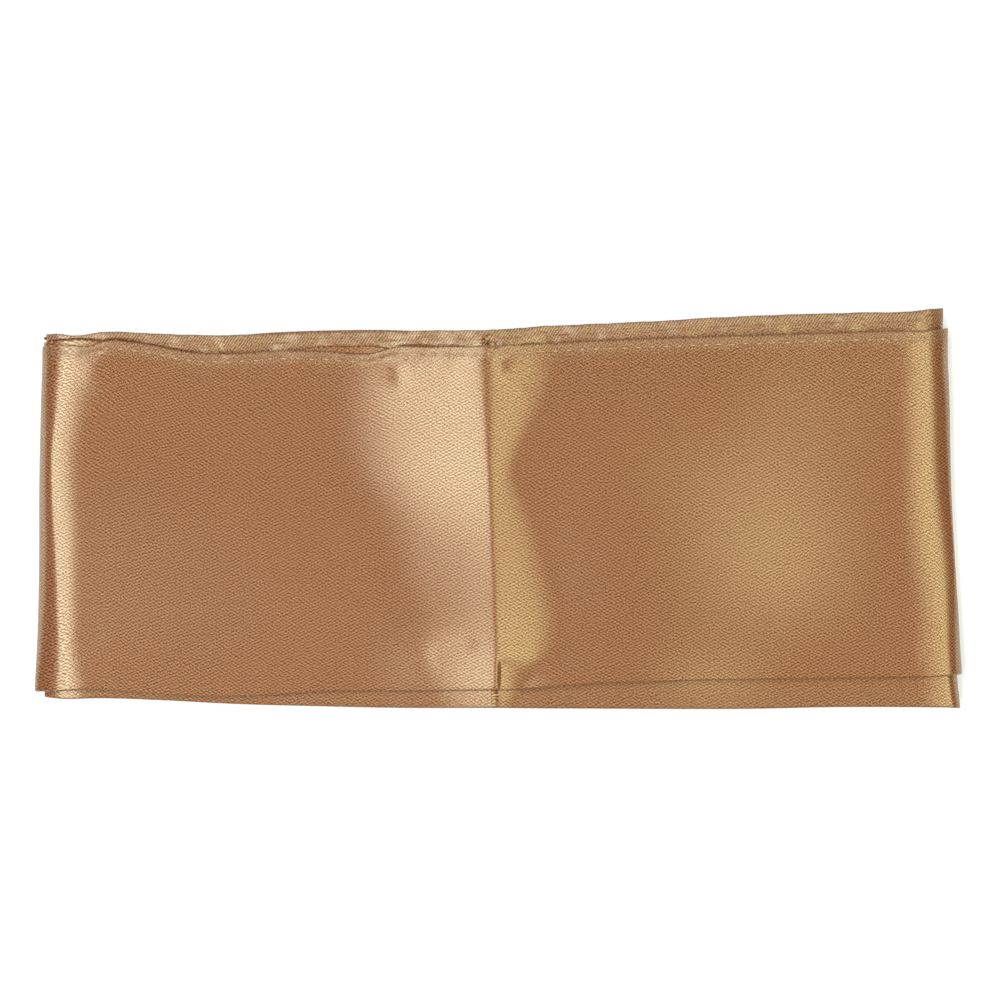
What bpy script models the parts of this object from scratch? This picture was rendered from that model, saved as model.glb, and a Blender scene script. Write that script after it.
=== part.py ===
"""A satin sash folded flat: doubled lengthwise, then folded crosswise into a packet that lies on z = 0.

The packet is long in X and shallow in Y. The hemmed edges are at the back (+Y) and the soft lengthwise
folds at the front (-Y). A crease across the middle, left by folding the packet in half, stands up as a
low ridge. Every length of the sash is a wall of its own, and they lie on each other with a thin gap.

All tables and sizes are in millimetres. The meshes are made in metres.
"""

import math

import bpy
import numpy as np

MM = 0.001

# Cloth. One wall stands for a length of the sash with its two plies.
WALL = 1.0
GAP = 0.32
NEST = WALL + GAP
SATIN_BROWN = (0.386, 0.191, 0.093, 1.0)
SATIN_SHADED = (0.300, 0.140, 0.066, 1.0)

# The packet's upper face.
LEVEL = 9.0
FRONT_DROOP_FROM = -38.0
FRONT_DROOP = 1.0
BACK_DROOP_FROM = 34.0
BACK_DROOP = 0.5
DROOP_LENGTH = 12.0

# The ends. The upper face rolls down over an ellipse, and a gentle shoulder leads into it.
END_LOW_LEFT = 3.3
END_LOW_RIGHT = 3.2
UNDER_TURN_LEFT = 2.9
UNDER_TURN_RIGHT = 2.8

# The ridge of the centre crease. Its crest runs slightly aslant.
CREST_X = -2.0
CREST_SLANT = -0.038
CREST_ROUND = 0.6
RELAX_LENGTH = 95.0

# The strip of the rear half under the top length's hem, and the rise of the top length over it.
STRIP_DEPTH = 8.0
RISE_LENGTH = 12.0
RISE_FULL_AT = 0.7

# How deep the upper and the lower length reach in under the top one, and the stations where they stop.
SHOWN_DEPTH = 44.0
UPPER_STATIONS = (0.05, 3.85)
LOWER_STATIONS = (0.42, 3.85)

# The hidden layers: where their stacked edges start inside the lengths above them.
HIDDEN_FRONT_INSET = 2.4
HIDDEN_BACK_INSET = 2.2
HIDDEN_END = 0.64
LEVELS_A_LAYER = 4

# How many steps the stations take round a roll and over the two halves of the packet, and where the
# top length's rows of points run, from the hem (0) to the fold (1).
ROLL_STEPS = 6
LEFT_STEPS = 26
RIGHT_STEPS = 20
TOP_ROWS = (0.0, 0.05, 0.105, 0.17, 0.25, 0.35, 0.47, 0.59, 0.71, 0.82, 0.91, 0.965, 1.0)


def table(names, rows):
    """The rows as one array a column, the first column being the place along the edge."""
    columns = np.array(rows, float).T
    return dict(zip(["at"] + names.split()[1:], columns))


# Where the top length's ends turn vertical, how far in each roll reaches, and its shoulder's drop and reach.
ENDS = table(
    "y left_x left_roll left_drop left_reach right_x right_roll right_drop right_reach",
    [
        (-50.0, -116.1, 8.8, 3.1, 13.6, 116.9, 4.0, 1.3, 12.3),
        (-43.0, -116.1, 8.7, 3.0, 12.6, 116.15, 4.3, 1.4, 12.5),
        (-36.0, -115.7, 8.1, 2.8, 11.2, 115.6, 4.6, 1.5, 12.7),
        (-24.0, -115.3, 6.6, 2.45, 10.4, 114.9, 4.5, 1.85, 13.2),
        (-10.0, -115.1, 5.2, 2.15, 10.4, 114.0, 5.7, 2.3, 13.7),
        (4.0, -115.1, 4.2, 1.8, 10.4, 113.3, 6.7, 2.35, 13.3),
        (16.0, -114.9, 4.3, 1.6, 11.2, 113.0, 6.6, 2.25, 12.8),
        (28.0, -114.6, 6.6, 2.05, 13.7, 112.8, 6.5, 2.2, 13.0),
        (38.0, -114.3, 8.2, 2.4, 15.7, 112.4, 6.8, 2.2, 13.1),
        (50.0, -114.3, 8.8, 2.5, 17.0, 112.5, 7.0, 2.2, 13.2),
    ],
)

# The crease's ridge: its crest over the level, and each flank's reach and fall.
RIDGE = table(
    "y crest left_reach left_fall right_reach right_fall",
    [
        (-50.0, 1.3, 16.0, 1.2, 4.5, 0.5),
        (-46.0, 1.4, 17.0, 1.4, 6.0, 0.7),
        (-42.0, 1.5, 18.0, 1.7, 9.0, 1.1),
        (-35.0, 1.6, 20.0, 1.55, 15.0, 1.8),
        (-27.0, 1.6, 20.0, 1.1, 18.0, 1.9),
        (-18.0, 1.6, 24.0, 1.35, 16.0, 1.6),
        (-8.0, 1.8, 27.0, 1.8, 13.0, 1.25),
        (0.0, 2.0, 30.0, 2.6, 9.5, 0.9),
        (9.0, 2.3, 35.0, 3.9, 5.5, 0.6),
        (20.0, 2.4, 37.0, 4.1, 10.0, 1.1),
        (30.0, 2.4, 36.0, 4.1, 15.5, 1.6),
        (39.0, 2.2, 33.0, 3.4, 17.0, 1.7),
        (50.0, 2.0, 33.0, 2.9, 17.0, 1.6),
    ],
)

# Broad swells and hollows of the upper face.
SWELLS = table(
    "number x y reach_x reach_y height",
    [
        (0, 98.0, -17.0, 32.0, 17.0, -1.2),
        (1, -64.0, 8.0, 30.0, 26.0, 0.12),
        (2, -2.0, -39.0, 30.0, 9.0, 0.7),
        (3, 102.0, 8.0, 36.0, 45.0, -0.7),
        (4, -84.0, 30.0, 16.0, 12.0, -0.15),
        (5, 62.0, 30.0, 16.0, 14.0, 0.2),
    ],
)

# The top length's two long edges.
TOP_EDGES = table(
    "x hem fold",
    [
        (-116.0, 40.3, -45.8),
        (-110.0, 40.8, -45.6),
        (-100.4, 40.9, -45.2),
        (-98.6, 41.6, -45.3),
        (-92.0, 41.4, -45.8),
        (-85.6, 40.4, -46.3),
        (-79.0, 39.1, -46.8),
        (-64.6, 38.6, -46.9),
        (-55.6, 39.3, -46.5),
        (-43.6, 39.1, -45.7),
        (-29.6, 39.1, -45.6),
        (-27.6, 39.8, -45.6),
        (-17.0, 40.2, -45.6),
        (-2.0, 40.4, -45.4),
        (10.4, 41.0, -44.8),
        (20.6, 41.5, -43.9),
        (43.0, 42.4, -43.1),
        (70.9, 43.3, -42.6),
        (95.0, 44.1, -42.2),
        (110.0, 44.6, -41.9),
        (116.0, 45.0, -41.4),
    ],
)

# The rear half's hem, which shows where it lies behind the top length's hem.
BACK_EDGES = table(
    "x hem",
    [
        (-116.0, 41.4),
        (-100.0, 41.6),
        (-97.0, 40.8),
        (-85.0, 39.4),
        (-64.0, 37.9),
        (-52.0, 38.8),
        (-47.0, 40.0),
        (-38.0, 40.3),
        (-29.0, 40.1),
        (-25.0, 39.4),
        (0.0, 39.8),
        (40.0, 41.6),
        (80.0, 43.0),
        (116.0, 44.2),
    ],
)

# The upper length: its hem is the packet's back outline.
UPPER_EDGES = table(
    "x hem",
    [
        (-116.0, 43.3),
        (-111.0, 43.6),
        (-106.5, 43.1),
        (-99.0, 44.1),
        (-90.0, 43.8),
        (-69.6, 43.2),
        (-47.0, 43.9),
        (-24.6, 44.4),
        (-2.0, 44.6),
        (12.9, 45.6),
        (35.4, 46.6),
        (57.9, 47.9),
        (87.9, 48.9),
        (102.0, 49.2),
        (109.4, 49.9),
        (116.0, 50.1),
    ],
)

# The lower length: its fold is the packet's front outline.
LOWER_EDGES = table(
    "x fold",
    [
        (-116.0, -47.0),
        (-110.0, -47.6),
        (-100.0, -47.4),
        (-84.6, -47.9),
        (-69.6, -48.7),
        (-47.0, -49.4),
        (-24.6, -49.9),
        (0.0, -50.0),
        (67.0, -50.0),
        (80.0, -49.7),
        (105.0, -49.7),
        (116.0, -49.8),
    ],
)

# The under length's long edges.
UNDER_EDGES = table(
    "x hem fold",
    [
        (-116.0, 39.2, -43.6),
        (-108.0, 40.6, -44.4),
        (-70.0, 42.2, -45.6),
        (-25.0, 43.2, -46.8),
        (0.0, 43.6, -47.2),
        (57.0, 46.0, -47.4),
        (104.0, 45.4, -43.4),
        (116.0, 42.6, -40.0),
    ],
)

# The stacked edges, from the lowest layer up: how far each one stands out at the four sides.
LAYERS = table(
    "layer front back left right",
    [
        (0.0, 1.5, 1.3, 0.7, 0.8),
        (1.0, 0.9, 0.8, 0.5, 0.6),
        (2.0, 1.8, 1.6, 0.6, 0.5),
        (3.0, 1.2, 1.1, 0.4, 0.4),
        (4.0, 0.8, 1.5, 0.3, 0.3),
        (5.0, 1.4, 0.9, 0.2, 0.2),
    ],
)


def curve(rows, column, at):
    """The column's value at each place: a cubic through the rows, held at the first and last one."""
    x, value = rows["at"], rows[column]
    slope = np.gradient(value, x)
    i = np.clip(np.searchsorted(x, at) - 1, 0, len(x) - 2)
    width = x[i + 1] - x[i]
    t = np.clip((at - x[i]) / width, 0.0, 1.0)
    start = (2 * t**3 - 3 * t**2 + 1) * value[i] + (t**3 - 2 * t**2 + t) * width * slope[i]
    end = (3 * t**2 - 2 * t**3) * value[i + 1] + (t**3 - t**2) * width * slope[i + 1]
    return start + end


def ease(t):
    """0 up to t = 0 and 1 from t = 1, with level ends."""
    t = np.clip(t, 0.0, 1.0)
    return t * t * (3.0 - 2.0 * t)


def crest_x(y):
    """Where the crease's crest lies."""
    return CREST_X + CREST_SLANT * y


def ridge(x, y):
    """The crease's height over the level.

    Each flank falls fastest at the crest and runs out level at its foot, t - t^3 / 3 of the way down.
    Beyond the foot the cloth eases back to the level over a long stretch.
    """
    side = x - crest_x(y)
    away = np.sqrt(side**2 + CREST_ROUND**2) - CREST_ROUND
    reach = np.where(side < 0, curve(RIDGE, "left_reach", y), curve(RIDGE, "right_reach", y))
    fall = np.where(side < 0, curve(RIDGE, "left_fall", y), curve(RIDGE, "right_fall", y))
    crest = curve(RIDGE, "crest", y)
    t = np.clip(away / reach, 0.0, 1.0)
    back = (fall - crest) * ease((away - reach) / RELAX_LENGTH)
    return crest - fall * 1.5 * (t - t**3 / 3.0) + back


def swells(x, y):
    """The swells' height: each one a bell, exp(-(x / reach_x)^2 - (y / reach_y)^2), round its centre."""
    height = np.zeros_like(x)
    for row in zip(*SWELLS.values()):
        _, middle_x, middle_y, reach_x, reach_y, rise = row
        height += rise * np.exp(-(((x - middle_x) / reach_x) ** 2) - ((y - middle_y) / reach_y) ** 2)
    return height


def upper_face(x, y):
    """The height of the packet's upper face before its ends roll down."""
    front = np.clip((FRONT_DROOP_FROM - y) / DROOP_LENGTH, 0.0, None)
    back = np.clip((y - BACK_DROOP_FROM) / DROOP_LENGTH, 0.0, None)
    droop = FRONT_DROOP * front**2 + BACK_DROOP * back**2
    return LEVEL + ridge(x, y) + swells(x, y) - droop


def hem_rise(x, y, s):
    """How far the top length is lifted over the strip under its hem. The lift starts part way up each roll."""
    start = curve(BACK_EDGES, "hem", x) - STRIP_DEPTH - RISE_LENGTH - 1.0
    from_end = np.minimum(s, 4.0 - s) / RISE_FULL_AT
    return NEST * ease((y - start) / RISE_LENGTH) * ease(from_end)


def knots(y):
    """For each y, the five x that the stations run between: end, roll's foot, crest, roll's foot, end."""
    left, right = curve(ENDS, "left_x", y), curve(ENDS, "right_x", y)
    left_foot = left + curve(ENDS, "left_roll", y)
    right_foot = right - curve(ENDS, "right_roll", y)
    return np.array([left, left_foot, crest_x(y), right_foot, right])


def station_x(s, y):
    """The x of station s, from 0 at the left end over 2 on the crest to 4 at the right end.

    In the first and last unit s is the turn of the roll in right angles, so x moves by its cosine.
    """
    five = knots(y)
    i = np.clip(np.floor(s).astype(int), 0, 3)
    t = s - i
    t = np.where(i == 0, 1.0 - np.cos(t * math.pi / 2), t)
    t = np.where(i == 3, np.sin(t * math.pi / 2), t)
    low = np.take_along_axis(five, i[None], 0)[0]
    high = np.take_along_axis(five, i[None] + 1, 0)[0]
    return low + (high - low) * t


def rolled(x, y):
    """The height of the upper face with its ends rolled down.

    The roll is an ellipse: at a distance d from the end it keeps sqrt(1 - (1 - d / roll)^2) of the height.
    """
    left, left_foot, _, right_foot, right = knots(y)
    at_left = x - left < right - x
    near = np.where(at_left, x - left, right - x)
    roll = np.where(at_left, left_foot - left, right - right_foot)
    low = np.where(at_left, END_LOW_LEFT, END_LOW_RIGHT)
    drop = np.where(at_left, curve(ENDS, "left_drop", y), curve(ENDS, "right_drop", y))
    reach = np.where(at_left, curve(ENDS, "left_reach", y), curve(ENDS, "right_reach", y))
    shoulder = drop * np.clip(1.0 - near / reach, 0.0, 1.0) ** 2
    kept = np.sqrt(np.clip(1.0 - (1.0 - np.clip(near / roll, 0.0, 1.0)) ** 2, 0.0, 1.0))
    return low + (upper_face(x, y) - shoulder - low) * kept


def stations(first, last, rolls, left_flats, right_flats):
    """Station numbers from first to last: even steps round each roll, closer steps towards the crest."""
    turn = np.linspace(0.0, 1.0, rolls + 1)
    left = 2.0 - np.linspace(1.0, 0.0, left_flats + 1)[1:] ** 1.35
    right = 2.0 + np.linspace(0.0, 1.0, right_flats + 1)[1:] ** 1.35
    every = np.concatenate([turn, left, right, 3.0 + turn[1:]])
    inner = every[(every > first + 0.02) & (every < last - 0.02)]
    return np.concatenate([[first], inner, [last]])


def panel(s, rows, start, end, inset=0.0, lift=None):
    """A grid of points: a row for each station, and columns from start to end, two functions of x for y.

    The points lie on the packet's upper face, moved inwards by inset along its normals, so that
    lengths with other insets nest inside each other round the rolls too.
    """
    s, v = np.meshgrid(s, np.asarray(rows), indexing="ij")
    y = np.zeros_like(s)
    x = station_x(s, y)
    for _ in range(4):
        y = start(x) + (end(x) - start(x)) * v
        x = station_x(s, y)
    face = np.stack([x, y, rolled(x, y)], axis=-1)
    away = lift(x, y, s) if lift else 0.0
    return face + normals(face) * np.atleast_3d(away - inset)


def edge(rows, column, moved=0.0):
    """One edge of a length, as a function of x, moved towards the back."""
    return lambda x: curve(rows, column, x) + moved


def lengths(line):
    """How far along a line of points each one is."""
    return np.concatenate([[0.0], np.cumsum(np.linalg.norm(np.diff(line, axis=0), axis=1))])


def normals(points):
    """The unit normal at each grid point, pointing out of the packet's upper face."""
    middle_row, middle_column = points.shape[0] // 2, points.shape[1] // 2
    along = np.gradient(points, lengths(points[:, middle_column]), axis=0, edge_order=2)
    across = np.gradient(points, lengths(points[middle_row]), axis=1, edge_order=2)
    out = np.cross(across, along)
    return out / np.linalg.norm(out, axis=-1, keepdims=True)


def wall(face, out):
    """Sections of a wall under a face: over the face, round the soft fold, and back to a square hem."""
    edge = face[:, -1] - face[:, -2]
    edge /= np.linalg.norm(edge, axis=-1, keepdims=True)
    middle = face[:, -1] - out[:, -1] * WALL / 2
    turn = np.radians([45.0, 90.0, 135.0])[None, :, None]
    rim = middle[:, None] + WALL / 2 * (np.cos(turn) * out[:, -1:] + np.sin(turn) * edge[:, None])
    inner = (face - out * WALL)[:, ::-1]
    return np.concatenate([face, rim, inner], axis=1)


def loft(sections):
    """Points and faces of a closed body through the sections, which are loops of equal length."""
    count, size = sections.shape[:2]
    i, j = np.meshgrid(np.arange(count - 1), np.arange(size), indexing="ij")
    k = (j + 1) % size
    sides = np.stack([i * size + j, i * size + k, (i + 1) * size + k, (i + 1) * size + j], axis=-1)
    half = np.arange(size // 2 - 1)
    across = np.stack([half, size - 1 - half, size - 2 - half, half + 1], axis=-1)
    last = (count - 1) * size + across[:, ::-1]
    faces = [tuple(f) for f in np.concatenate([sides.reshape(-1, 4), across, last]).tolist()]
    odd = size // 2 - 1
    if size % 2:
        tip = (odd, odd + 2, odd + 1)
        faces += [tip, tuple((count - 1) * size + n for n in reversed(tip))]
    return sections.reshape(-1, 3), faces


def satin(name, colour, roughness):
    """A glossy woven fabric."""
    material = bpy.data.materials.new(name)
    material.use_nodes = True
    shader = material.node_tree.nodes["Principled BSDF"]
    shader.inputs["Base Color"].default_value = colour
    shader.inputs["Roughness"].default_value = roughness
    shader.inputs["Metallic"].default_value = 0.1
    material.diffuse_color = colour
    return material


def add(name, points, faces, material, collection):
    """A named object from points in millimetres."""
    mesh = bpy.data.meshes.new(name)
    mesh.from_pydata((points * MM).tolist(), [], faces)
    mesh.validate()
    mesh.shade_smooth()
    mesh.set_sharp_from_angle(angle=math.radians(50))
    mesh.materials.append(material)
    item = bpy.data.objects.new(name, mesh)
    collection.objects.link(item)
    return item


def make_top_length():
    """The length on top, from the left end over the crease to the right end."""
    s = stations(0.0, 4.0, ROLL_STEPS, LEFT_STEPS, RIGHT_STEPS)
    face = panel(s, TOP_ROWS, edge(TOP_EDGES, "hem"), edge(TOP_EDGES, "fold", WALL / 2), lift=hem_rise)
    return loft(wall(face, normals(face)))


def make_top_length_back():
    """The strip of the rear half under the top length's hem."""
    s = stations(0.75, 3.2, ROLL_STEPS, LEFT_STEPS, RIGHT_STEPS)
    face = panel(s, np.linspace(0, 1, 3), edge(BACK_EDGES, "hem"), edge(BACK_EDGES, "hem", -STRIP_DEPTH))
    return loft(wall(face, normals(face)))


def make_upper_length():
    """The length whose hem is the packet's back outline."""
    s = stations(*UPPER_STATIONS, ROLL_STEPS, LEFT_STEPS, RIGHT_STEPS)
    hem = edge(UPPER_EDGES, "hem")
    face = panel(s, np.linspace(0, 1, 7), hem, edge(UPPER_EDGES, "hem", -SHOWN_DEPTH), NEST)
    return loft(wall(face, normals(face)))


def make_lower_length():
    """The length whose soft fold is the packet's front outline."""
    s = stations(*LOWER_STATIONS, ROLL_STEPS, LEFT_STEPS, RIGHT_STEPS)
    fold = edge(LOWER_EDGES, "fold", WALL / 2)
    face = panel(s, np.linspace(0, 1, 7), edge(LOWER_EDGES, "fold", SHOWN_DEPTH), fold, NEST)
    return loft(wall(face, normals(face)))


def make_under_length():
    """The length that the packet rests on: flat underneath, its two ends turned up on a quarter circle."""
    s = stations(0.0, 4.0, 4, 12, 12)
    face = panel(s, np.linspace(0, 1, 5), edge(UNDER_EDGES, "hem"), edge(UNDER_EDGES, "fold", WALL / 2))
    y = face[..., 1]
    five = knots(y)
    turned = np.broadcast_to(s[:, None], y.shape)
    angle = np.clip(np.minimum(turned, 4.0 - turned), 0.0, 1.0) * math.pi / 2
    radius = np.where(turned < 2.0, UNDER_TURN_LEFT, UNDER_TURN_RIGHT)
    inside = radius * (1.0 - np.cos(angle))
    x = np.where(turned <= 1.0, five[0] + inside, station_x(turned, y))
    x = np.where(turned >= 3.0, five[4] - inside, x)
    face = np.stack([x, y, radius * (1.0 - np.sin(angle))], axis=-1)
    points, faces = loft(wall(face, -normals(face)))
    return points, [f[::-1] for f in faces]


def make_hidden_layers():
    """The lengths between, as one solid: a top like the length above, a flat base, and stacked round edges.

    Each layer's edge is half a sine wave in height, standing out as its row of the table says.
    """
    s = stations(HIDDEN_END, 4.0 - HIDDEN_END, ROLL_STEPS, LEFT_STEPS, RIGHT_STEPS)
    rows = 9
    back = edge(UPPER_EDGES, "hem", -HIDDEN_BACK_INSET)
    front = edge(LOWER_EDGES, "fold", HIDDEN_FRONT_INSET)
    top = panel(s, np.linspace(0, 1, rows), back, front, 2 * NEST)
    base = top.copy()
    base[..., 2] = NEST

    columns, count = np.arange(rows), len(s)
    loop = [(0, j) for j in columns]
    loop += [(i, rows - 1) for i in range(1, count)]
    loop += [(count - 1, j) for j in columns[-2::-1]]
    loop += [(i, 0) for i in range(count - 2, 0, -1)]
    i, j = np.array(loop).T
    side = {
        "left": (i == 0) * 1.0,
        "right": (i == count - 1) * 1.0,
        "back": (j == 0) * 1.0,
        "front": (j == rows - 1) * 1.0,
    }
    upper, lower = top[i, j], base[i, j]

    layers = len(LAYERS["at"])
    rings = []
    for level in range(1, layers * LEVELS_A_LAYER):
        layer, step = divmod(level, LEVELS_A_LAYER)
        bulge = math.sin(math.pi * step / LEVELS_A_LAYER)
        out = {key: weight * LAYERS[key][layer] * bulge for key, weight in side.items()}
        ring = lower + (upper - lower) * level / (layers * LEVELS_A_LAYER)
        ring[:, 0] += out["right"] - out["left"]
        ring[:, 1] += out["back"] - out["front"]
        rings.append(ring)

    grid = np.arange(count * rows).reshape(count, rows)
    quads = np.stack([grid[:-1, :-1], grid[:-1, 1:], grid[1:, 1:], grid[1:, :-1]], axis=-1).reshape(-1, 4)
    faces = [tuple(f) for f in quads.tolist()]
    faces += [tuple(f) for f in (quads[:, ::-1] + count * rows).tolist()]
    around = len(loop)
    first = 2 * count * rows
    chain = [grid[i, j] + count * rows]
    chain += [first + n * around + np.arange(around) for n in range(len(rings))]
    chain += [grid[i, j]]
    for below, above in zip(chain, chain[1:]):
        ring = np.stack([below, np.roll(below, -1), np.roll(above, -1), above], axis=-1)
        faces += [tuple(f) for f in ring.tolist()]
    points = np.concatenate([top.reshape(-1, 3), base.reshape(-1, 3), *rings])
    return points, faces


def main():
    for item in list(bpy.data.objects):
        bpy.data.objects.remove(item)
    collection = bpy.data.collections.new("satin_sash")
    bpy.context.scene.collection.children.link(collection)

    shown = satin("satin_shown", SATIN_BROWN, 0.38)
    shaded = satin("satin_shaded", SATIN_SHADED, 0.45)
    pieces = (
        ("top_length", make_top_length, shown),
        ("top_length_back", make_top_length_back, shaded),
        ("upper_length", make_upper_length, shown),
        ("lower_length", make_lower_length, shown),
        ("hidden_layers", make_hidden_layers, shaded),
        ("under_length", make_under_length, shown),
    )
    for name, make, material in pieces:
        points, faces = make()
        add(name, points, faces, material, collection)


main()
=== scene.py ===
"""A satin sash, doubled lengthwise and folded crosswise into a flat packet, dressed over its packed frame.

The packet is long in X and lies on z = 0, with its hems at the back (+Y) and its soft folds at the front.
Every length is a thin sheet of two plies: from its upper hem over the top to the soft fold, and back
underneath to its lower hem. Shapes are worked out in millimetres and put into meshes in metres.
"""

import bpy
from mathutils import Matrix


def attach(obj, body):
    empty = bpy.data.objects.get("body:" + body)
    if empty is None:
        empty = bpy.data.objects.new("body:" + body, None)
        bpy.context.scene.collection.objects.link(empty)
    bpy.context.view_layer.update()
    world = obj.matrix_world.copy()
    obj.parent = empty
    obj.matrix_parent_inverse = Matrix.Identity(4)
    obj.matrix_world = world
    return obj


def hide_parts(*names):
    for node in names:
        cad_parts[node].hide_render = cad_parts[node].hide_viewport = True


bl_info = {
    "name": "Folded Satin Sash",
    "version": (1, 0, 0),
    "blender": (4, 5, 0),
    "location": "View3D > Sidebar > Sash",
    "description": "Makes the folded lengths of a satin sash, their hems and stitches, and a plain studio",
    "category": "Object",
}

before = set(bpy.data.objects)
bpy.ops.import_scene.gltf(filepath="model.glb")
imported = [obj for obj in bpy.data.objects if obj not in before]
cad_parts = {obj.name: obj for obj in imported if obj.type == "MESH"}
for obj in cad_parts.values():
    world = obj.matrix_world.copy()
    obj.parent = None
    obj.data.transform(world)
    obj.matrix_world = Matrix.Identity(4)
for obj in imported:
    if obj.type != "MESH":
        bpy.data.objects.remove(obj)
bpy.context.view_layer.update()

import math

import bpy
import numpy as np
from bpy.props import FloatProperty, FloatVectorProperty, IntProperty, PointerProperty

MM = 0.001
BODY = "root"

# How thick one length with its two plies is, and the step from one length to the next.
WALL = 1.0
NEST = 1.32

# The packet's upper face.
LEVEL = 9.0
FRONT_DROOP_FROM = -38.0
FRONT_DROOP = 1.0
BACK_DROOP_FROM = 34.0
BACK_DROOP = 0.5
DROOP_LENGTH = 12.0

# The ends: how low the upper face rolls down, and the radii on which the under length turns up.
END_LOW_LEFT = 3.3
END_LOW_RIGHT = 3.2
UNDER_TURN_LEFT = 2.9
UNDER_TURN_RIGHT = 2.8

# The ridge of the centre crease. Its crest runs slightly aslant, and grows rounder towards the back.
CREST_X = -2.0
CREST_SLANT = -0.038
CREST_ROUND = 0.45
CREST_ROUND_BACK = 1.4
CREST_ROUND_FROM = -5.0
CREST_ROUND_LENGTH = 45.0
RELAX_LENGTH = 95.0

# The share of a crease over which it fades in at each end.
CREASE_FADE = 0.25

# How far the hems and the lower fold are lifted, and how deep in. A hem's lift takes RISE_LENGTH to ease in.
RISE_LENGTH = 10.0
TOP_HEM_LIFT = (0.35, 8.0)
UPPER_HEM_LIFT = (0.25, 4.0)
LOWER_FOLD_LIFT = (0.5, 5.0)

# The dips beside the top length's hem and fold: how far behind them they lie, and their widths.
HEM_DIP = (0.1, 0.5)
FOLD_DIP = (-0.7, 1.3)

# About how far it is from a whole length's hem to its fold, how deep the upper and the lower length are
# built in, and the stations where these two stop.
TOP_DEPTH = 86.0
UNDER_DEPTH = 88.0
HIDDEN_DEPTH = 90.0
SHOWN_DEPTH = 44.0
UPPER_STATIONS = (0.05, 3.85)
LOWER_STATIONS = (0.42, 3.85)

# The hidden lengths: how far inside the outline they lie, the station where they stop, and how much of its
# share of the height each one fills.
HIDDEN_COUNT = 8
HIDDEN_FRONT_INSET = 1.2
HIDDEN_BACK_INSET = 3.3
HIDDEN_END = 0.64
HIDDEN_SLACK = 0.92
HIDDEN_PLY = 0.2
HIDDEN_HEM = 2.1
HIDDEN_HEM_THICK = 1.6 * HIDDEN_PLY

# The turned hem: how thick its three plies are, its relief, and where in its width the stitches run.
HEM_THICK = 0.62
HEM_EASE = 0.5
HEM_SWELL = 0.07
STITCH_DENT = 0.13
STITCH_DENT_WIDTH = 0.42
STITCH_LINE = 0.85
UNDER_HEM_THICK = 0.7 * HEM_THICK
UNDER_REAR_INSET = 0.8
NO_HEM = 0.01

# The stitches: steps along and round one, its rise as a share of the thread, its seat as a share of the
# dent, and its unevenness in place, in length and sideways, each with its turn a mm.
STITCH_STEPS = 8
STITCH_SIDES = 6
STITCH_RISE = 0.45
STITCH_SEAT = 0.3
STITCH_STRAY = (0.25, 1.7)
STITCH_STRETCH = (0.12, 2.9)
STITCH_SWERVE = (0.08, 0.9)

# Where each hem's stitches start and stop, and how much deeper the upper hem's thread lies.
TOP_SEAM = (-108.0, 107.0)
UPPER_SEAM = (-106.0, 105.0)
UPPER_SEAM_SINK = 0.3

# The hems' puckers: their strength, their reach behind the stitches, and how they drift out of step.
TOP_PUCKERS = (0.8, 1.6)
UPPER_PUCKERS = (3.2, 4.0)
UPPER_PUCKERS_START = 47.0
PUCKER_DRIFT = 1.3
PUCKER_DRIFT_LENGTH = 31.0

# Steps of the surfaces: round the rolls, round a fold and a hem's end, and how they crowd towards the crest.
ROLL_STEPS = 14
UNDER_STEPS = 8
HIDDEN_STEPS = (6, 34)
CROWDING = 1.35
LEAST_STEP = 0.005
FOLD_STEPS = 10
HEM_TURN = (40.0, 90.0, 140.0)

# The wrong side at a hem gives way to the right side over this length, starting before the hem's line.
TURNED_BEFORE = 0.6
TURNED_LENGTH = 2.8


def table(names, *rows):
    """The rows as one array a column, each one under its name."""
    return dict(zip(names.split(), np.array(rows, float).T))


# Where the top length's ends turn vertical, how far in each roll reaches, its shoulder's drop and its reach.
ENDS = table(
    "y left_x left_roll left_drop left_reach right_x right_roll right_drop right_reach",
    (-50, -116.1, 8.8, 3.1, 13.6, 116.9, 4, 1.3, 12.3),
    (-43, -116.1, 8.7, 3, 12.6, 116.15, 4.3, 1.4, 12.5),
    (-36, -115.7, 8.1, 2.8, 11.2, 115.6, 4.6, 1.5, 12.7),
    (-24, -115.3, 6.6, 2.45, 10.4, 114.9, 4.5, 1.85, 13.2),
    (-10, -115.1, 5.2, 2.15, 10.4, 114, 5.7, 2.3, 13.7),
    (4, -115.1, 4.2, 1.8, 10.4, 113.3, 6.7, 2.35, 13.3),
    (16, -114.9, 4.3, 1.6, 11.2, 113, 6.6, 2.25, 12.8),
    (28, -114.6, 6.6, 2.05, 13.7, 112.8, 6.5, 2.2, 13),
    (38, -114.3, 8.2, 2.4, 15.7, 112.4, 6.8, 2.2, 13.1),
    (50, -114.3, 8.8, 2.5, 17, 112.5, 7, 2.2, 13.2),
)

# The crease's ridge: its crest over the level, and each flank's reach and fall.
RIDGE = table(
    "y crest left_reach left_fall right_reach right_fall",
    (-50, 1.3, 16, 1.2, 4.5, 0.5),
    (-46, 1.4, 17, 1.4, 6, 0.7),
    (-42, 1.5, 18, 1.7, 9, 1.1),
    (-35, 1.6, 20, 1.55, 15, 1.8),
    (-27, 1.6, 20, 1.1, 18, 1.9),
    (-18, 1.6, 24, 1.35, 16, 1.6),
    (-8, 1.8, 27, 1.8, 13, 1.25),
    (0, 2, 30, 2.6, 9.5, 0.9),
    (9, 2.3, 35, 3.9, 5.5, 0.6),
    (20, 2.4, 37, 4.1, 10, 1.1),
    (30, 2.4, 36, 4.1, 15.5, 1.6),
    (39, 2.2, 33, 3.4, 17, 1.7),
    (50, 2, 33, 2.9, 17, 1.6),
)

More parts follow.
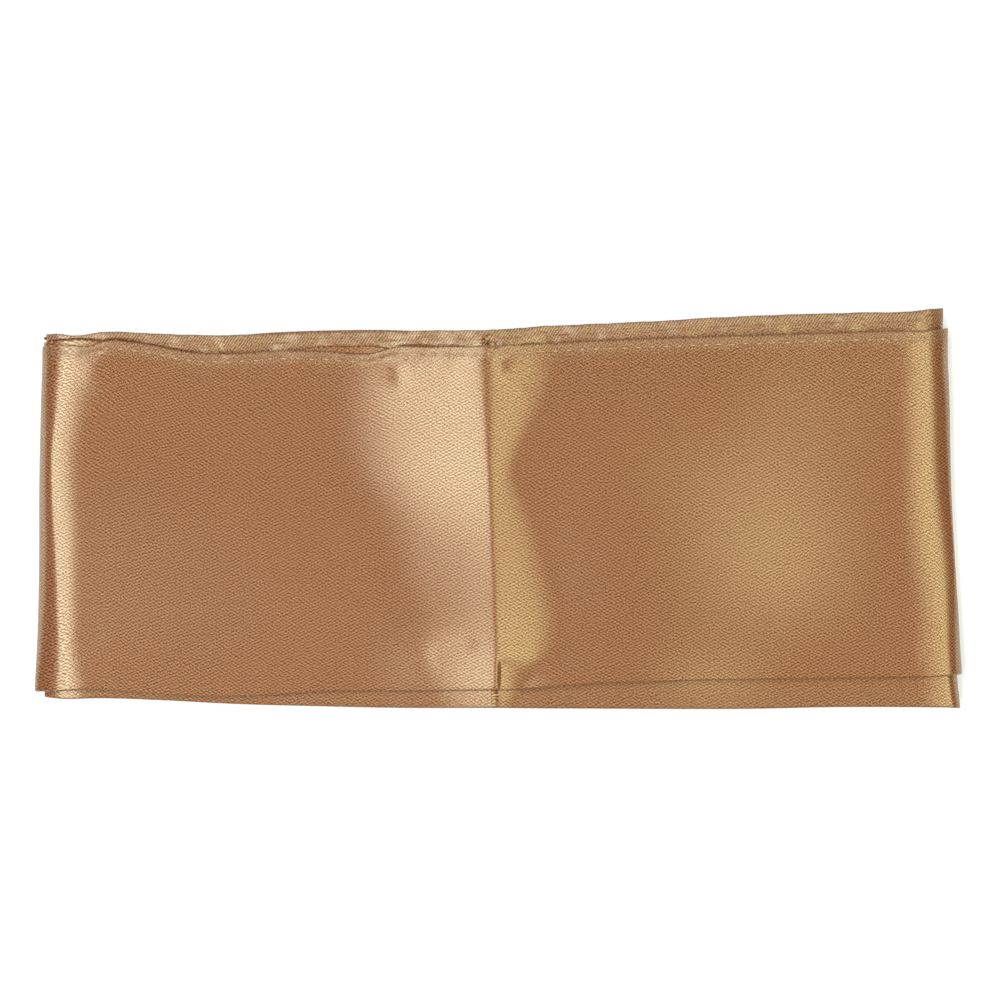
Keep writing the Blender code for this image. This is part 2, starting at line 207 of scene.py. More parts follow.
# The top length's two long edges.
TOP_EDGES = table(
    "x hem fold hem_dip fold_dip",
    (-116, 40.3, -45.8, 0.3, 0),
    (-110, 40.8, -45.6, 0.5, 0),
    (-100.4, 40.9, -45.2, 0.6, 0.1),
    (-98.6, 41.6, -45.3, 0.6, 0.1),
    (-92, 41.4, -45.8, 0.5, 0.1),
    (-85.6, 40.4, -46.3, 0.45, 0.1),
    (-79, 39.1, -46.8, 0.4, 0.1),
    (-64.6, 38.6, -46.9, 0.15, 0.1),
    (-55.6, 39.3, -46.5, 0.15, 0.15),
    (-43.6, 39.1, -45.7, 0.2, 0.1),
    (-29.6, 39.1, -45.6, 0.2, 0),
    (-27.6, 39.8, -45.6, 0.25, 0),
    (-17, 40.2, -45.6, 0.4, 0),
    (-2, 40.4, -45.4, 0.1, 0),
    (10.4, 41, -44.8, 0.2, 0.4),
    (20.6, 41.5, -43.9, 0.2, 0.55),
    (43, 42.4, -43.1, 0.25, 0.6),
    (70.9, 43.3, -42.6, 0.35, 0.6),
    (95, 44.1, -42.2, 0.15, 0.4),
    (110, 44.6, -41.9, 0, 0.1),
    (116, 45.6, -41.4, 0, 0),
)

# The rear half's hem, which shows where it lies behind the top length's hem.
BACK_EDGES = table(
    "x hem",
    (-116, 41.4),
    (-100, 41.6),
    (-97, 40.8),
    (-85, 39.4),
    (-64, 37.9),
    (-52, 38.8),
    (-47, 40),
    (-38, 40.3),
    (-29, 40.1),
    (-25, 39.4),
    (0, 39.8),
    (40, 41.6),
    (80, 43),
    (116, 44.2),
)

# The upper length: its hem is the packet's back outline, and its rear hem lies just under it.
UPPER_EDGES = table(
    "x hem rear",
    (-116, 43.3, 42.6),
    (-111, 43.6, 42.9),
    (-106.5, 43.1, 42.6),
    (-99, 44.1, 43.3),
    (-90, 43.8, 43.2),
    (-69.6, 43.2, 42.9),
    (-58, 43.5, 43.8),
    (-47, 43.9, 44.3),
    (-30, 44.2, 44.6),
    (-17, 44.4, 44.2),
    (-2, 44.6, 44.1),
    (12.9, 45.6, 44.9),
    (35.4, 46.6, 46),
    (57.9, 47.9, 47.2),
    (87.9, 48.9, 48.3),
    (102, 49.2, 48.5),
    (109.4, 49.9, 49),
    (116, 50.1, 49.4),
)

# The lower length: its fold is the packet's front outline.
LOWER_EDGES = table(
    "x fold",
    (-116, -47),
    (-110, -47.6),
    (-100, -47.4),
    (-84.6, -47.9),
    (-69.6, -48.7),
    (-47, -49.4),
    (-24.6, -49.9),
    (0, -50),
    (67, -50),
    (80, -49.7),
    (105, -49.7),
    (116, -49.8),
)

# The under length's long edges.
UNDER_EDGES = table(
    "x hem fold",
    (-116, 39.2, -43.6),
    (-108, 40.6, -44.4),
    (-70, 42.2, -45.6),
    (-25, 43.2, -46.8),
    (0, 43.6, -47.2),
    (57, 46, -47.4),
    (104, 45.4, -43.4),
    (116, 42.6, -40),
)

# The hidden lengths from the lowest up: how far in each one's fold, upper hem and rear hem lie.
HIDDEN_EDGES = table(
    "fold hem rear",
    (-0.7, -0.4, 0.3),
    (0.5, 0.6, -0.2),
    (-1.2, -0.9, 0.1),
    (-0.2, 0.5, 1.2),
    (-0.9, -0.6, -1.1),
    (0.4, 0.2, 0.8),
    (-0.6, -1, -0.3),
    (0.1, 0.4, 0.9),
)

# Soft troughs (depth above 0) and raised pleats (below 0) pressed into the upper face by the folding.
CREASES = table(
    "from_x from_y to_x to_y left right depth",
    (0.5, -46.2, 0.8, -36.8, 0.8, 7.5, 0.82),
    (-0.9, -54, -0.9, -44.4, 0.5, 6, 0.5),
    (-3.6, 43.2, -0.4, 39.8, 1.6, 0.3, 0.4),
    (-0.5, 37.8, 0.4, 34.4, 3, 0.4, 0.3),
    (-1, 36, 8, 27, 1.6, 1.6, 0.06),
    (-8, 41, -14, 30, 2.2, 2.2, 0.07),
    (-18, -37, -5, -33, 2.6, 2.6, -0.1),
    (5, -36, 22, -41, 2.4, 2.4, 0.09),
    (-104, 36, -96, 28, 2.6, 2.6, -0.1),
    (-108, -37, -98, -30, 2.4, 2.4, 0.08),
    (103, 38, 96, 30, 2.2, 2.2, 0.07),
    (106, -38, 97, -31, 2.6, 2.6, -0.08),
    (-71.6, 42.8, -68.4, 37, 0.5, 0.9, 0.36),
    (-26, 36.5, -24, 30, 2, 2, 0.16),
)

# Broad swells of the upper face.
SWELLS = table(
    "x y reach_x reach_y height",
    (98, -17, 32, 17, -1.2),
    (-64, 8, 30, 26, 0.12),
    (-2, -39, 30, 9, 0.7),
    (102, 8, 36, 45, -0.7),
    (-84, 30, 16, 12, -0.15),
    (62, 30, 16, 14, 0.2),
)

# Low waves of the upper face, each one rising to the right by its slope at its centre.
WAVES = table(
    "x y reach_x reach_y slope",
    (61, -12, 40, 27, -0.046),
    (52, -42, 24, 9, -0.045),
    (-44, 43, 16, 6, 0.04),
    (-23, -41, 12, 9, 0.024),
    (6, -4, 12, 50, -0.024),
    (-10, -14, 9, 16, -0.017),
)

# The waves in a sewn hem: how long each one is, its turns a mm inwards, its height and its start.
HEM_WAVES = table(
    "length slant height start",
    (3.4, 0.21, 0.012, 0),
    (9.7, 0.1, 0.032, 0.3),
    (6.1, -0.15, 0.02, 0.7),
    (23, 0.04, 0.06, 0.1),
    (14.3, 0.08, 0.04, 0.5),
)


# ---- Shape ----


def curve(rows, column, at):
    """The column at each place along the first one: a cubic through the rows, held at both ends."""
    x, value = next(iter(rows.values())), rows[column]
    slope = np.gradient(value, x)
    i = np.clip(np.searchsorted(x, at) - 1, 0, len(x) - 2)
    width = x[i + 1] - x[i]
    t = np.clip((at - x[i]) / width, 0.0, 1.0)
    start = (2 * t**3 - 3 * t**2 + 1) * value[i] + (t**3 - 2 * t**2 + t) * width * slope[i]
    end = (3 * t**2 - 2 * t**3) * value[i + 1] + (t**3 - t**2) * width * slope[i + 1]
    return start + end


def each(rows):
    """The rows of a table one by one, as dictionaries of plain numbers."""
    names = list(rows)
    return [dict(zip(names, values)) for values in zip(*rows.values())]


def ease(t):
    """0 up to t = 0 and 1 from t = 1, with level ends."""
    t = np.clip(t, 0.0, 1.0)
    return t * t * (3.0 - 2.0 * t)


def sided(rows, y, at_left, *columns):
    """Each column's value at each y: the left one where at_left says so, and the right one elsewhere."""
    return [
        np.where(at_left, curve(rows, "left_" + name, y), curve(rows, "right_" + name, y))
        for name in columns
    ]


def crest_x(y):
    """Where the crease's crest lies."""
    return CREST_X + CREST_SLANT * y


def ridge(x, y):
    """The crease's height over the level.

    At t of its reach a flank is 1.5 (t - t^3 / 3) of its fall down, steep at the crest and level at its
    foot. A distance d from the crest counts as sqrt(d^2 + r^2) - r, where r rounds the crest. Beyond the
    foot the cloth eases back to the level.
    """
    side = x - crest_x(y)
    round_off = CREST_ROUND + CREST_ROUND_BACK * ease((y - CREST_ROUND_FROM) / CREST_ROUND_LENGTH)
    away = np.sqrt(side**2 + round_off**2) - round_off
    reach, fall = sided(RIDGE, y, side < 0, "reach", "fall")
    crest = curve(RIDGE, "crest", y)
    t = np.clip(away / reach, 0.0, 1.0)
    back = (fall - crest) * ease((away - reach) / RELAX_LENGTH)
    return crest - fall * 1.5 * (t - t**3 / 3.0) + back


def creases(x, y):
    """The creases' height: across each one a bell, exp(-(distance / width)^2), that fades at its two ends.

    A bell has one width on its left and one on its right, looking along the crease.
    """
    height = np.zeros_like(x)
    for row in each(CREASES):
        from_x, from_y = x - row["from_x"], y - row["from_y"]
        run = np.array([row["to_x"] - row["from_x"], row["to_y"] - row["from_y"]])
        length = np.hypot(*run)
        t = (from_x * run[0] + from_y * run[1]) / length**2
        aside = (from_x * run[1] - from_y * run[0]) / length
        fade = ease(t / CREASE_FADE) * ease((1.0 - t) / CREASE_FADE)
        width = np.where(aside < 0, row["left"], row["right"])
        height -= row["depth"] * fade * np.exp(-((aside / width) ** 2))
    return height


def bell(x, y, row):
    """A bell round the row's centre: exp(-(x / reach_x)^2 - (y / reach_y)^2)."""
    return np.exp(-(((x - row["x"]) / row["reach_x"]) ** 2 + ((y - row["y"]) / row["reach_y"]) ** 2))


def swells(x, y):
    """The swells' height: the sum of their bells."""
    return sum(row["height"] * bell(x, y, row) for row in each(SWELLS))


def waves(x, y):
    """The low waves' height: the sum of slope * x * bell, with x from each one's centre."""
    return sum(row["slope"] * (x - row["x"]) * bell(x, y, row) for row in each(WAVES))


def upper_face(x, y):
    """The packet's upper face before its ends roll down.

    It is the level with the ridge, the creases, the swells and the waves on it, and it droops towards both
    long edges by the square of the way past a line.
    """
    front = np.clip((FRONT_DROOP_FROM - y) / DROOP_LENGTH, 0.0, None)
    back = np.clip((y - BACK_DROOP_FROM) / DROOP_LENGTH, 0.0, None)
    droop = FRONT_DROOP * front**2 + BACK_DROOP * back**2
    return LEVEL + ridge(x, y) + creases(x, y) + swells(x, y) + waves(x, y) - droop


def knots(y):
    """For each y, the five x that the stations run between: end, roll's foot, crest, roll's foot, end."""
    left, right = curve(ENDS, "left_x", y), curve(ENDS, "right_x", y)
    left_foot = left + curve(ENDS, "left_roll", y)
    right_foot = right - curve(ENDS, "right_roll", y)
    return np.array([left, left_foot, crest_x(y), right_foot, right])


def station_x(s, y):
    """The x of station s, from 0 at the left end over 2 on the crest to 4 at the right end.

    In the first and last unit s is the turn of the roll in right angles, so x moves by its cosine.
    """
    five = knots(y)
    i = np.clip(np.floor(s).astype(int), 0, 3)
    t = s - i
    t = np.where(i == 0, 1.0 - np.cos(t * math.pi / 2), t)
    t = np.where(i == 3, np.sin(t * math.pi / 2), t)
    low = np.take_along_axis(five, i[None], 0)[0]
    high = np.take_along_axis(five, i[None] + 1, 0)[0]
    return low + (high - low) * t


def rolled(x, y):
    """The height of the upper face with its ends rolled down.

    The roll is an ellipse: at a distance d from the end it keeps sqrt(1 - (1 - d / roll)^2) of the height.
    """
    left, left_foot, _, right_foot, right = knots(y)
    at_left = x - left < right - x
    near = np.where(at_left, x - left, right - x)
    roll = np.where(at_left, left_foot - left, right - right_foot)
    low = np.where(at_left, END_LOW_LEFT, END_LOW_RIGHT)
    drop, reach = sided(ENDS, y, at_left, "drop", "reach")
    shoulder = drop * np.clip(1.0 - near / reach, 0.0, 1.0) ** 2
    kept = np.sqrt(np.clip(1.0 - (1.0 - np.clip(near / roll, 0.0, 1.0)) ** 2, 0.0, 1.0))
    return low + (upper_face(x, y) - shoulder - low) * kept


def stations(first, last, rolls, flats):
    """Station numbers from first to last: even steps round each roll, closer steps towards the crest."""
    turn = np.linspace(0.0, 1.0, rolls + 1)
    flat = np.linspace(0.0, 1.0, flats + 1)[1:] ** CROWDING
    every = np.concatenate([turn, 2.0 - flat[-2::-1], [2.0], 2.0 + flat, 3.0 + turn[1:]])
    inner = every[(every > first + LEAST_STEP) & (every < last - LEAST_STEP)]
    return np.concatenate([[first], inner, [last]])


def lengths(line):
    """How far along a line of points each one is."""
    return np.concatenate([[0.0], np.cumsum(np.linalg.norm(np.diff(line, axis=0), axis=1))])


def normals(points):
    """The unit normal at each grid point, pointing out of the packet's upper face."""
    middle_row, middle_column = points.shape[0] // 2, points.shape[1] // 2
    along = np.gradient(points, lengths(points[:, middle_column]), axis=0, edge_order=2)
    across = np.gradient(points, lengths(points[middle_row]), axis=1, edge_order=2)
    out = np.cross(across, along)
    return out / np.linalg.norm(out, axis=-1, keepdims=True)


def edge(rows, column, moved=0.0):
    """One edge of a length, as a function of x, moved towards the back."""
    return lambda x: curve(rows, column, x) + moved


def skin(s, rows, start, end, inset=0.0, lift=None):
    """A grid of points on the packet's upper face, a row for each station, and their normals.

    The columns run from start to end, two functions of x for y, and a few rounds settle x and y. Along the
    normals the points move inwards by inset, so that lengths nest inside each other, and outwards by lift,
    a function of x, y and s.
    """
    s, v = np.meshgrid(s, np.asarray(rows), indexing="ij")
    y = np.zeros_like(s)
    x = station_x(s, y)
    for _ in range(4):
        y = start(x) + (end(x) - start(x)) * v
        x = station_x(s, y)
    face = np.stack([x, y, rolled(x, y)], axis=-1)
    away = lift(x, y, s) if lift else 0.0
    face = face + normals(face) * np.atleast_3d(away - inset)
    return face, normals(face)


def hem_relief(along, inwards, width, puckers, reach):
    """The relief of a turned and stitched hem, for places along it and inwards from its edge.

    The turned plies swell up by a half sine, and at the stitches a bell draws them in. The table's waves,
    times puckers, run through it, and behind the stitches they die out over the reach.
    """
    turned = ease((width - inwards) / HEM_EASE)
    swell = HEM_SWELL * np.sin(math.pi * np.clip(inwards / width, 0.0, 1.0)) * turned
    dent = STITCH_DENT * np.exp(-(((inwards - width) / STITCH_DENT_WIDTH) ** 2))
    wave = np.zeros_like(along)
    for number, row in enumerate(each(HEM_WAVES)):
        turn = along / row["length"] + inwards * row["slant"] + row["start"]
        drift = PUCKER_DRIFT * np.sin(along / PUCKER_DRIFT_LENGTH + number)
        wave += row["height"] * np.sin(2 * math.pi * turn + drift)
    strength = puckers * np.exp(-np.clip(inwards - width, 0.0, None) / reach)
    return swell - dent + wave * strength


def arc(middle, out, side, radius, angles):
    """Points on an arc round each middle: radius * (cos(angle) * out + sin(angle) * side)."""
    turn = np.radians(np.asarray(angles, float))[None, :, None]
    return middle[:, None] + np.reshape(radius, (-1, 1, 1)) * (
        np.cos(turn) * out[:, None] + np.sin(turn) * side[:, None]
    )


def unit(vectors):
    """The vectors with a length of 1."""
    return vectors / np.linalg.norm(vectors, axis=-1, keepdims=True)


def bands(count, size):
    """Quads between each two neighbours of count closed rings of size points."""
    i, j = np.meshgrid(np.arange(count - 1), np.arange(size), indexing="ij")
    k = (j + 1) % size
    quads = np.stack([i * size + j, i * size + k, (i + 1) * size + k, (i + 1) * size + j], axis=-1)
    return quads.reshape(-1, 4)


class Length:
    """One doubled length of the sash: two plies joined by a soft fold, as the sections of a thin sheet.

    The outer path runs over the upper ply from its hem, half round the fold, and back under the rear ply
    to its hem. The inner path follows it one ply's thickness inside, or a hem's, and round ends join them.
    """

    def __init__(self, upper, rear, ply, hem_width, wall=WALL, hem_thick=HEM_THICK, turned=(0.0, 0.0)):
        (face, out), (back, back_out) = upper, rear
        wall = np.broadcast_to(np.asarray(wall, float), face.shape[:1])
        from_hem = [lengths(grid[len(grid) // 2]) for grid in (face, back)]
        thick = [ply + (hem_thick - ply) * ease((hem_width - d) / HEM_EASE) for d in from_hem]
        under = wall[:, None, None]
        side = unit(face[:, -1] - face[:, -2])
        middle = face[:, -1] - out[:, -1] * wall[:, None] / 2
        angles = np.linspace(0.0, 180.0, FOLD_STEPS + 2)[1:-1]

        inner_face = face - out * thick[0][:, None]
        inner_back = back - back_out * (under - thick[1][:, None])
        outer_back = back - back_out * under
        outer_fold = arc(middle, out[:, -1], side, wall / 2, angles)
        inner_fold = arc(middle, out[:, -1], side, wall / 2 - ply, angles)
        outer = np.concatenate([face, outer_fold, outer_back[:, ::-1]], axis=1)
        inner = np.concatenate([inner_face, inner_fold, inner_back[:, ::-1]], axis=1)

        def hem_end(grid, above, below, out):
            away = unit(grid[:, 0] - grid[:, 1])
            half = np.linalg.norm(above[:, 0] - below[:, 0], axis=-1) / 2
            return arc((above[:, 0] + below[:, 0]) / 2, out[:, 0], away, half, HEM_TURN)[:, ::-1]

        top_end = hem_end(face, face, inner_face, out)
        rear_end = hem_end(back, inner_back, outer_back, back_out)
        self.sections = np.concatenate([outer, rear_end, inner[:, ::-1], top_end], axis=1)
        self.path = outer.shape[1]
        self.turn = len(HEM_TURN)
        self.across = self._across(outer)
        self.turned = self._turned(from_hem, hem_width, *turned)

    def _across(self, outer):
        """How far from the upper hem each section point lies on the cloth, at the middle station."""
        way = lengths(outer[len(outer) // 2])
        rear = np.full(self.turn, way[-1])
        return np.concatenate([way, rear, way[::-1], np.zeros(self.turn)])

    def _turned(self, from_hem, hem_width, at_hem, behind):
        """How much of the wrong side shows.

        On the upper ply it is at_hem at the hem and eases to behind beyond it. On the inside it is 1, up
        to the rear ply's hem, where the right side is turned in. Elsewhere it is 0. Beyond the upper
        length's hem its lighter tone is partly painted light, and all over the lower length, which has no
        hem, it is painted light.
        """
        past = ease((from_hem[0] - hem_width + TURNED_BEFORE) / TURNED_LENGTH)
        upper = at_hem + (behind - at_hem) * past
        inside = np.concatenate([np.ones(len(upper) + FOLD_STEPS), from_hem[1][::-1] >= hem_width])
        path = np.concatenate([upper, np.zeros(FOLD_STEPS + len(from_hem[1]))])
        return np.concatenate([path, np.zeros(self.turn), inside[::-1], np.full(self.turn, at_hem)])

    def faces(self):
        """Quads between neighbouring sections, and the two end caps as strips between the paths."""
        count, size = self.sections.shape[:2]
        inner_start = self.path + self.turn
        outer = np.arange(self.path - 1)
        inner = inner_start + self.path - 1 - outer
        caps = np.stack([outer, inner, inner - 1, outer + 1], axis=-1)
        rear_cap = np.arange(self.path - 1, inner_start + 1)
        top_cap = np.append(np.arange(inner_start + self.path - 1, size), 0)
        last = (count - 1) * size
        faces = bands(count, size).tolist() + caps.tolist() + (caps[:, ::-1] + last).tolist()
        for cap in (rear_cap, top_cap):
            faces += [cap[::-1].tolist(), (cap + last).tolist()]
        return faces

    def cloth_map(self):
        """For every point its place on the flat cloth in metres: along the sash, and across from the hem."""
        middle = self.sections[:, self.path // 3]
        u, v = np.meshgrid(lengths(middle), self.across, indexing="ij")
        return np.stack([u, v], axis=-1).reshape(-1, 2) * MM


def add_object(name, data):
    """A named object in the scene."""
    item = bpy.data.objects.new(name, data)
    bpy.context.scene.collection.objects.link(item)
    return item


def add_mesh(name, points, faces, material, cloth=None, turned=None):
    """A named object at the origin from points in millimetres, with its cloth map and its turned attribute,
    the wrong side's share, which is painted light in places.
    """
    mesh = bpy.data.meshes.new(name)
    mesh.from_pydata((points * MM).tolist(), [], faces)
    if cloth is not None:
        corner = np.empty(len(mesh.loops), np.int32)
        mesh.loops.foreach_get("vertex_index", corner)
        layer = mesh.uv_layers.new(name="cloth")
        layer.data.foreach_set("uv", cloth[corner].astype(np.float32).ravel())
    if turned is not None:
        attribute = mesh.attributes.new("turned", "FLOAT", "POINT")
        attribute.data.foreach_set("value", turned.astype(np.float32))
    mesh.shade_smooth()
    mesh.materials.append(material)
    item = add_object(name, mesh)
    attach(item, BODY)
    return item


def add_lengths(name, made, material):
    """One object from one or more doubled lengths."""
    points, faces, cloth, turned = [], [], [], []
    first = 0
    for length in made:
        flat = length.sections.reshape(-1, 3)
        points.append(flat)
        faces += [[first + n for n in face] for face in length.faces()]
        cloth.append(length.cloth_map())
        turned.append(np.tile(length.turned, len(length.sections)))
        first += len(flat)
    return add_mesh(
        name, np.concatenate(points), faces, material, np.concatenate(cloth), np.concatenate(turned)
    )


# ---- Pieces ----

# Rows of points: how far they lie from a hem, or before a fold.
HEM_ROWS = (0.0, 0.12, 0.3, 0.55, 0.85, 1.2, 1.5, 1.75, 1.95, 2.15, 2.35, 2.6, 2.9, 3.3, 3.8, 4.5, 5.4, 6.5)
FEW_HEM_ROWS = (0.0, 0.3, 0.9, 1.5, 1.9, 2.2, 2.6, 4.0, 6.5)
FOLD_ROWS = (5.0, 3.6, 2.4, 1.5, 0.8, 0.3, 0.0)


def rows_of(width, near_hem, step, near_fold):
    """Fractions of width: the rows near the hem, even steps of about step, and the rows near the fold."""
    start, end = near_hem[-1], width - near_fold[0]
    middle = np.linspace(start, end, max(2, round((end - start) / step)) + 1)[1:-1]
    return np.concatenate([near_hem, middle, width - np.array(near_fold)]) / width


# ---- Materials ----


class Value:
    """A node's output as a number that Python's operators work on, adding Math nodes."""

    def __init__(self, nodes, socket):
        self.nodes, self.socket = nodes, socket

    def _math(self, operation, *inputs):
        return self.nodes.add("ShaderNodeMath", {"operation": operation}, dict(enumerate(inputs)))

    def __add__(self, other):
        return self._math("ADD", self, other)

    def __sub__(self, other):
        return self._math("SUBTRACT", self, other)

    def __rsub__(self, other):
        return self._math("SUBTRACT", other, self)

    def __mul__(self, other):
        return self._math("MULTIPLY", self, other)

    __radd__, __rmul__ = __add__, __mul__

    def sine(self):
        return self._math("SINE", self)

    def clamped(self):
        return self._math("MAXIMUM", self._math("MINIMUM", self, 1.0), 0.0)


class Nodes:
    """A material's nodes, added one by one and linked as they are added."""

    def __init__(self, name):
        self.material = bpy.data.materials.new(name)
        self.material.use_nodes = True
        self.tree = self.material.node_tree
        self.shader = self.tree.nodes["Principled BSDF"]

    def add(self, kind, settings=None, inputs=None, output=0):
        """A node of that kind: its settings first, then the values or links of its sockets."""
        node = self.tree.nodes.new(kind)
        for name, value in (settings or {}).items():
            setattr(node, name, value)
        self.put(node, inputs or {})
        return Value(self, node.outputs[output])

    def put(self, node, inputs):
        """The values or links of a node's sockets."""
        for name, value in inputs.items():
            if isinstance(value, Value):
                self.tree.links.new(value.socket, node.inputs[name])
            else:
                node.inputs[name].default_value = value

    def split(self, vector):
        """A vector's X and Y."""
        x = self.add("ShaderNodeSeparateXYZ", {}, {"Vector": vector}, "X")
        return x, Value(self, x.socket.node.outputs["Y"])

    def mix(self, factor, first, second):
        """A colour between two colours."""
        return self.add(
            "ShaderNodeMix", {"data_type": "RGBA"}, {0: factor, 6: first, 7: second}, output=2
        )

    def blend(self, factor, under):
        """The material's shader over another one, where the factor is 1."""
        output = self.tree.nodes["Material Output"]
        over = Value(self, self.shader.outputs[0])
        mixed = self.add("ShaderNodeMixShader", {}, {0: factor, 1: under, 2: over})
        self.put(output, {"Surface": mixed})

    def noise(self, place, per_metre, roughness=0.5, output=0):
        """Noise from 0 to 1 over a place, with so many features to the metre."""
        values = {"Vector": place, "Scale": per_metre, "Detail": 2.0, "Roughness": roughness}
        return self.add("ShaderNodeTexNoise", {}, values, output)

    def bump(self, distance, height, strength=1.0):
        """The normal of a surface with a relief."""
        return self.add("ShaderNodeBump", {}, {"Strength": strength, "Distance": distance, "Height": height})


def colour(values, light=1.0):
    """A colour, made lighter or darker, with full alpha."""
    return (*(min(1.0, v * light) for v in values), 1.0)


def lines(along, across, family):
    """A family of slanting lines: the sine of its turns to a metre along and across, times its strength."""
    per_along, per_across, strength = family
    turn = along * (2 * math.pi * per_along) + across * (2 * math.pi * per_across)
    return turn.sine() * strength


# The weave's families of lines and the wrong side's ribs: to a metre along and across, and their strength.
FAMILIES = ((564, 1280, 1.0), (760, -1056, 1.0), (1416, 1440, 0.9), (668, -1600, 0.5), (1920, -1340, 0.65))
RIBS = (1300, 900, 1.2)

# How far the lines waver and single threads slip, and how often to a metre.
WAVERS = ((1.0 * MM, 45.0), (0.7 * MM, 650.0))

# How many single floats and patches of tone there are to a metre.
FLOATS_PER_METRE = 2500.0
PATCHES_PER_METRE = 28.0

# How much the single floats and the wrong side add to the roughness.
FLOAT_ROUGHNESS = 0.08
WRONG_SIDE_ROUGHNESS = 0.2

# The thread: fibres to a metre, how dark and how light they are, and their roughness and relief.
FIBRES_PER_METRE = 6000.0
FIBRE_TONES = (0.75, 1.2)
FIBRE_ROUGHNESS = (0.45, 0.2)
FIBRE_RELIEF = 0.03 * MM


# A dim below 1 darkens every tone of the satin: painted shade.
def make_satin(name, dim=1.0):
    """Satin: bright floats over darker gaps, with a soft gloss and slow changes of tone.

    The weave's height is the sum of five families of slanting lines, which waver and slip with two noises.
    Where it is turned, the cloth shows its wrong side, with ribs and a tone of its own: at the hems the
    cloth's own side, beyond the upper length's hem partly painted light, and on the lower length painted
    light.
    The floats' shader shows where height and a fine noise together are high, and the gaps' one where they
    are low.
    """
    satin = bpy.context.scene.sash_satin
    nodes = Nodes(name)
    place = nodes.add("ShaderNodeTexCoord", output="Object")
    cloth = nodes.add("ShaderNodeUVMap", {"uv_map": "cloth"})
    along, across = nodes.split(cloth)
    turned = nodes.add("ShaderNodeAttribute", {"attribute_name": "turned"}, output="Fac")

    for size, per_metre in WAVERS:
        drift_along, drift_across = nodes.split(nodes.noise(place, per_metre, output="Color"))
        along = along + (drift_along - 0.5) * size
        across = across + (drift_across - 0.5) * size
    right_side = lines(along, across, FAMILIES[0])
    for family in FAMILIES[1:]:
        right_side = right_side + lines(along, across, family)
    height = right_side + (lines(along, across, RIBS) - right_side) * turned
    fibres = nodes.noise(cloth, FLOATS_PER_METRE)
    floats = (height * satin.contrast + (fibres - 0.5) * satin.unevenness + satin.cover).clamped()

    slow = nodes.noise(place, PATCHES_PER_METRE, roughness=0.6)
    bump = nodes.bump(satin.relief, height + fibres)
    roughness = satin.roughness + (fibres - 0.5) * FLOAT_ROUGHNESS + turned * WRONG_SIDE_ROUGHNESS
    gap = nodes.add("ShaderNodeBsdfPrincipled")
    for shader, light, ior, tint in (
        (nodes.shader, dim, satin.ior, satin.gloss_tint),
        (gap.socket.node, dim * satin.gap, satin.gap_ior, satin.gap_tint),
    ):
        ground = nodes.mix(slow, colour(satin.warm, light), colour(satin.cool, light))
        # The wrong side's tone where turned: the cloth's own at hems, painted light on the lower length and
        # partly beyond the upper length's hem.
        ground = nodes.mix(turned, ground, colour(satin.wrong_side, light))
        nodes.put(shader, {"Base Color": ground, "Normal": bump, "Roughness": roughness})
        nodes.put(shader, {"IOR": ior, "Specular Tint": colour(tint)})
    nodes.blend(floats, gap)
    nodes.material.diffuse_color = colour(satin.cool, dim)
    return nodes.material


def make_thread(name, tone):
    """Sewing thread: lighter and darker fibres with a fine relief and a dull gloss."""
    nodes = Nodes(name)
    place = nodes.add("ShaderNodeTexCoord", output="Object")
    fibre = nodes.noise(place, FIBRES_PER_METRE)
    ground = nodes.mix(fibre, *(colour(tone, light) for light in FIBRE_TONES))
    roughness = FIBRE_ROUGHNESS[0] + (fibre - 0.5) * FIBRE_ROUGHNESS[1]
    bump = nodes.bump(FIBRE_RELIEF, fibre, 0.5)
    nodes.put(nodes.shader, {"Base Color": ground, "Roughness": roughness, "Normal": bump})
    return nodes.material


def satin_material(name, dim=1.0):
    """The named satin, made once; a dim below 1 gives a darker copy, painted shade."""
    return bpy.data.materials.get(name) or make_satin(name, dim)


# ---- Settings ----


class SashCloth(bpy.types.PropertyGroup):
    """Sizes of the cloth."""

    ply: FloatProperty(name="Ply", description="Thickness of one ply", default=0.3 * MM, subtype="DISTANCE")
    width: FloatProperty(name="Width", description="Before it is doubled", default=0.17, subtype="DISTANCE")
    hem: FloatProperty(name="Hem", description="Width of a turned hem", default=2.1 * MM, subtype="DISTANCE")
    grid: IntProperty(name="Grid", description="Steps from an end to the crease", default=115, min=20)


class SashSatin(bpy.types.PropertyGroup):
    """The satin's floats, colours and gloss."""

    relief: FloatProperty(name="Floats", description="Height", default=0.0042 * MM, subtype="DISTANCE")
    cover: FloatProperty(name="Cover", description="Share of the cloth that floats cover", default=0.44)
    contrast: FloatProperty(name="Contrast", description="How hard the floats' edges are", default=0.31)
    unevenness: FloatProperty(name="Unevenness", description="How much single floats differ", default=2.6)
    warm: FloatVectorProperty(
        name="Warm tone", description="Redder patches", subtype="COLOR", default=(0.508, 0.185, 0.078)
    )
    cool: FloatVectorProperty(
        name="Cool tone", description="Browner patches", subtype="COLOR", default=(0.479, 0.187, 0.086)
    )
    wrong_side: FloatVectorProperty(
        name="Wrong side", description="The side at hems", subtype="COLOR", default=(0.46, 0.205, 0.115)
    )
    thread: FloatVectorProperty(
        name="Thread", description="Sewing thread", subtype="COLOR", default=(0.62, 0.37, 0.22)
    )
    gloss_tint: FloatVectorProperty(
        name="Gloss tint", description="Colour of the gloss", subtype="COLOR", default=(0.975, 1.0, 0.735)
    )
    roughness: FloatProperty(name="Roughness", description="Spread of the gloss", default=0.19, min=0, max=1)
    ior: FloatProperty(name="Refraction", description="Sets the gloss", default=2.4, min=1, max=4)
    gap: FloatProperty(name="Gaps", description="Tone between the floats", default=0.2, min=0, max=1)
    gap_ior: FloatProperty(name="Gaps' refraction", description="Their gloss", default=1.8, min=1, max=4)
    gap_tint: FloatVectorProperty(
        name="Gaps' gloss", description="Colour of their gloss", subtype="COLOR", default=(1.0, 0.74, 0.46)
    )


